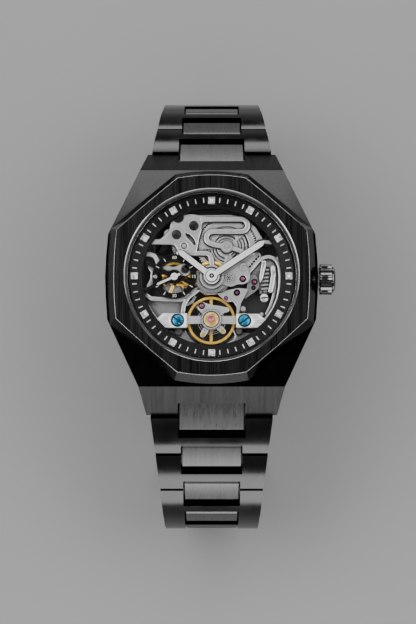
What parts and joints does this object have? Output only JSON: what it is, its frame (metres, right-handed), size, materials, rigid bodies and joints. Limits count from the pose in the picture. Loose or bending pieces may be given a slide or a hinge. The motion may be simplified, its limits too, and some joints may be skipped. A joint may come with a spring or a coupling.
{
  "type": "skeleton wristwatch",
  "caption": "Black steel wristwatch with an open-worked movement under a crystal, a winding crown and a link bracelet with a folding clasp.",
  "frame": {"origin": "middle of the case back's outer face, on the axis of the hour and minute hands", "axes": "+Z out through the dial, +Y towards 12 o'clock along the bracelet, +X towards the crown at 3 o'clock"},
  "size_m": [0.0458, 0.0919, 0.059],
  "materials": {
    "black_steel": "black coated, brushed and polished",
    "grey_steel": "satin",
    "rhodium": "rhodium plated, satin",
    "gilt_brass": "gilt",
    "blued_steel": "blued, polished",
    "spring_steel": "polished",
    "dark_chrome": "polished",
    "dial_black": "black lacquer",
    "crystal": "clear sapphire",
    "gasket_rubber": "matt"
  },
  "bodies": {
    "case": {"case_middle": "black_steel", "bezel": "black_steel", "crystal": "crystal", "crystal_gasket": "gasket_rubber", "chapter_ring": "dial_black", "case_back": "grey_steel", "back_crystal": "crystal", "back_gasket": "gasket_rubber", "movement_ring": "spring_steel", "mainplate": "rhodium", "rotor_bridge": "rhodium", "barrel_bridge": "rhodium", "train_bridge": "rhodium", "balance_bridge": "rhodium", "bridge_screw_left": "blued_steel", "bridge_screw_right": "blued_steel", "seconds_dial": "dial_black"},
    "link_12_1": {"link_12_1": "black_steel"},
    "link_12_2": {"link_12_2": "black_steel"},
    "link_12_3": {"link_12_3": "black_steel"},
    "link_12_4": {"link_12_4": "black_steel"},
    "link_12_5": {"link_12_5": "black_steel"},
    "link_12_6": {"link_12_6": "black_steel"},
    "link_12_7": {"link_12_7": "black_steel"},
    "link_12_8": {"link_12_8": "black_steel"},
    "link_6_1": {"link_6_1": "black_steel"},
    "link_6_2": {"link_6_2": "black_steel"},
    "link_6_3": {"link_6_3": "black_steel"},
    "link_6_4": {"link_6_4": "black_steel"},
    "link_6_5": {"link_6_5": "black_steel"},
    "link_6_6": {"link_6_6": "black_steel"},
    "link_6_7": {"link_6_7": "black_steel"},
    "link_6_8": {"link_6_8": "black_steel"},
    "clasp_cover": {"clasp_cover": "black_steel"},
    "clasp_long_leaf": {"clasp_long_leaf": "grey_steel"},
    "clasp_short_leaf": {"clasp_short_leaf": "grey_steel"},
    "clasp_button_left": {"clasp_button_left": "grey_steel"},
    "clasp_button_right": {"clasp_button_right": "grey_steel"},
    "setting_lever": {"setting_lever": "rhodium"},
    "crown": {"crown": "dark_chrome", "winding_stem": "spring_steel", "sliding_pinion": "rhodium"},
    "seconds": {"fourth_wheel": "gilt_brass", "seconds_hand": "rhodium"},
    "third": {"third_wheel": "gilt_brass"},
    "center": {"center_wheel": "gilt_brass", "minute_hand": "rhodium"},
    "minute_wheel": {"minute_wheel": "rhodium"},
    "hour": {"hour_wheel": "rhodium", "hour_hand": "rhodium"},
    "escape": {"escape_wheel": "spring_steel"},
    "barrel": {"barrel": "gilt_brass", "mainspring": "spring_steel"},
    "ratchet": {"ratchet_wheel": "rhodium"},
    "crown_wheel": {"crown_wheel": "rhodium"},
    "pallet": {"pallet_fork": "spring_steel"},
    "balance": {"balance_wheel": "gilt_brass", "hairspring": "spring_steel"},
    "rotor": {"rotor": "rhodium"}
  },
  "joints": [
    {"name": "link_12_1_pin", "type": "hinge", "parent": "case", "child": "link_12_1", "pos_m": [0, 0.0241, 0.0026], "axis": [1, 0, 0], "range_deg": [0, 43]},
    {"name": "link_12_2_pin", "type": "hinge", "parent": "link_12_1", "child": "link_12_2", "pos_m": [0, 0.0315, -0.00383], "axis": [1, 0, 0], "range_deg": [0, 8]},
    {"name": "link_12_3_pin", "type": "hinge", "parent": "link_12_2", "child": "link_12_3", "pos_m": [0, 0.03733, -0.00987], "axis": [1, 0, 0], "range_deg": [0, 21]},
    {"name": "link_12_4_pin", "type": "hinge", "parent": "link_12_3", "child": "link_12_4", "pos_m": [0, 0.04101, -0.01742], "axis": [1, 0, 0], "range_deg": [0, 21]},
    {"name": "link_12_5_pin", "type": "hinge", "parent": "link_12_4", "child": "link_12_5", "pos_m": [0, 0.04218, -0.02574], "axis": [1, 0, 0], "range_deg": [0, 28]},
    {"name": "link_12_6_pin", "type": "hinge", "parent": "link_12_5", "child": "link_12_6", "pos_m": [0, 0.03973, -0.03377], "axis": [1, 0, 0], "range_deg": [0, 28]},
    {"name": "link_12_7_pin", "type": "hinge", "parent": "link_12_6", "child": "link_12_7", "pos_m": [0, 0.03411, -0.04002], "axis": [1, 0, 0], "range_deg": [0, 25]},
    {"name": "link_12_8_pin", "type": "hinge", "parent": "link_12_7", "child": "link_12_8", "pos_m": [0, 0.02656, -0.0437], "axis": [1, 0, 0], "range_deg": [0, 24]},
    {"name": "link_6_1_pin", "type": "hinge", "parent": "case", "child": "link_6_1", "pos_m": [0, -0.0241, 0.0026], "axis": [-1, 0, 0], "range_deg": [0, 35]},
    {"name": "link_6_2_pin", "type": "hinge", "parent": "link_6_1", "child": "link_6_2", "pos_m": [0, -0.03232, -0.00274], "axis": [-1, 0, 0], "range_deg": [0, 6]},
    {"name": "link_6_3_pin", "type": "hinge", "parent": "link_6_2", "child": "link_6_3", "pos_m": [0, -0.03911, -0.00767], "axis": [-1, 0, 0], "range_deg": [0, 17]},
    {"name": "link_6_4_pin", "type": "hinge", "parent": "link_6_3", "child": "link_6_4", "pos_m": [0, -0.04451, -0.01411], "axis": [-1, 0, 0], "range_deg": [0, 27]},
    {"name": "link_6_5_pin", "type": "hinge", "parent": "link_6_4", "child": "link_6_5", "pos_m": [0, -0.04683, -0.02218], "axis": [-1, 0, 0], "range_deg": [0, 26]},
    {"name": "link_6_6_pin", "type": "hinge", "parent": "link_6_5", "child": "link_6_6", "pos_m": [0, -0.04581, -0.03052], "axis": [-1, 0, 0], "range_deg": [0, 26]},
    {"name": "link_6_7_pin", "type": "hinge", "parent": "link_6_6", "child": "link_6_7", "pos_m": [0, -0.04161, -0.0378], "axis": [-1, 0, 0], "range_deg": [0, 27]},
    {"name": "link_6_8_pin", "type": "hinge", "parent": "link_6_7", "child": "link_6_8", "pos_m": [0, -0.03481, -0.04273], "axis": [-1, 0, 0], "range_deg": [0, 27]},
    {"name": "clasp_cover_pin", "type": "hinge", "parent": "link_6_8", "child": "clasp_cover", "pos_m": [0, -0.02659, -0.04448], "axis": [-1, 0, 0], "range_deg": [0, 14]},
    {"name": "long_leaf_hinge", "type": "hinge", "parent": "clasp_cover", "child": "clasp_long_leaf", "pos_m": [0, 0.01571, -0.04473], "axis": [-1, 0, 0], "range_deg": [0, 95]},
    {"name": "short_leaf_hinge", "type": "hinge", "parent": "clasp_long_leaf", "child": "clasp_short_leaf", "pos_m": [0, -0.01759, -0.04418], "axis": [1, 0, 0], "range_deg": [0, 120]},
    {"name": "button_left_push", "type": "slide", "parent": "clasp_cover", "child": "clasp_button_left", "axis": [1, 0, 0], "range_m": [0, 0.0005], "stiffness_N_per_m": 150},
    {"name": "button_right_push", "type": "slide", "parent": "clasp_cover", "child": "clasp_button_right", "axis": [-1, 0, 0], "range_m": [0, 0.0005], "stiffness_N_per_m": 150},
    {"name": "crown_pull", "type": "slide", "parent": "case", "child": "setting_lever", "axis": [1, 0, 0], "range_m": [0, 0.001]},
    {"name": "crown_turn", "type": "hinge", "parent": "setting_lever", "child": "crown", "pos_m": [0.022, 0, 0.0056], "axis": [1, 0, 0], "continuous": true},
    {"name": "seconds_turn", "type": "hinge", "parent": "case", "child": "seconds", "pos_m": [-0.0074, 0, 0.006], "axis": [0, 0, -1], "continuous": true},
    {"name": "third_turn", "type": "hinge", "parent": "case", "child": "third", "pos_m": [-0.00415, 0.001, 0.006], "axis": [0, 0, -1], "continuous": true},
    {"name": "minute_turn", "type": "hinge", "parent": "case", "child": "center", "pos_m": [0, 0, 0.006], "axis": [0, 0, -1], "continuous": true},
    {"name": "minute_wheel_turn", "type": "hinge", "parent": "case", "child": "minute_wheel", "pos_m": [0.00176, -0.00148, 0.006], "axis": [0, 0, -1], "continuous": true},
    {"name": "hour_turn", "type": "hinge", "parent": "case", "child": "hour", "pos_m": [0, 0, 0.006], "axis": [0, 0, -1], "continuous": true},
    {"name": "escape_turn", "type": "hinge", "parent": "case", "child": "escape", "pos_m": [-0.00574, -0.00268, 0.006], "axis": [0, 0, -1], "continuous": true},
    {"name": "barrel_turn", "type": "hinge", "parent": "case", "child": "barrel", "pos_m": [0.003, 0.0061, 0.006], "axis": [0, 0, -1], "continuous": true},
    {"name": "ratchet_turn", "type": "hinge", "parent": "case", "child": "ratchet", "pos_m": [0.003, 0.0061, 0.006], "axis": [0, 0, -1], "continuous": true},
    {"name": "crown_wheel_turn", "type": "hinge", "parent": "case", "child": "crown_wheel", "pos_m": [-0.0055, 0.00625, 0.006], "axis": [0, 0, -1], "continuous": true},
    {"name": "pallet_swing", "type": "hinge", "parent": "case", "child": "pallet", "pos_m": [-0.0039, -0.0046, 0.006], "axis": [0, 0, -1], "range_deg": [-8, 8]},
    {"name": "balance_swing", "type": "hinge", "parent": "case", "child": "balance", "pos_m": [-0.0001, -0.0085, 0.006], "axis": [0, 0, -1], "range_deg": [-270, 270], "stiffness_Nm_per_rad": 0.0000004},
    {"name": "rotor_turn", "type": "hinge", "parent": "case", "child": "rotor", "pos_m": [0, 0, 0.006], "axis": [0, 0, -1], "continuous": true}
  ],
  "couplings": [
    {"joint": "third_turn", "follows": "seconds_turn", "ratio": -0.13333},
    {"joint": "minute_turn", "follows": "seconds_turn", "ratio": 0.016667},
    {"joint": "minute_wheel_turn", "follows": "seconds_turn", "ratio": -0.0055556},
    {"joint": "hour_turn", "follows": "seconds_turn", "ratio": 0.0013889},
    {"joint": "escape_turn", "follows": "seconds_turn", "ratio": -10},
    {"joint": "barrel_turn", "follows": "seconds_turn", "ratio": -0.0022222},
    {"joint": "ratchet_turn", "follows": "crown_turn", "ratio": 0.178},
    {"joint": "crown_wheel_turn", "follows": "crown_turn", "ratio": -0.428}
  ]
}
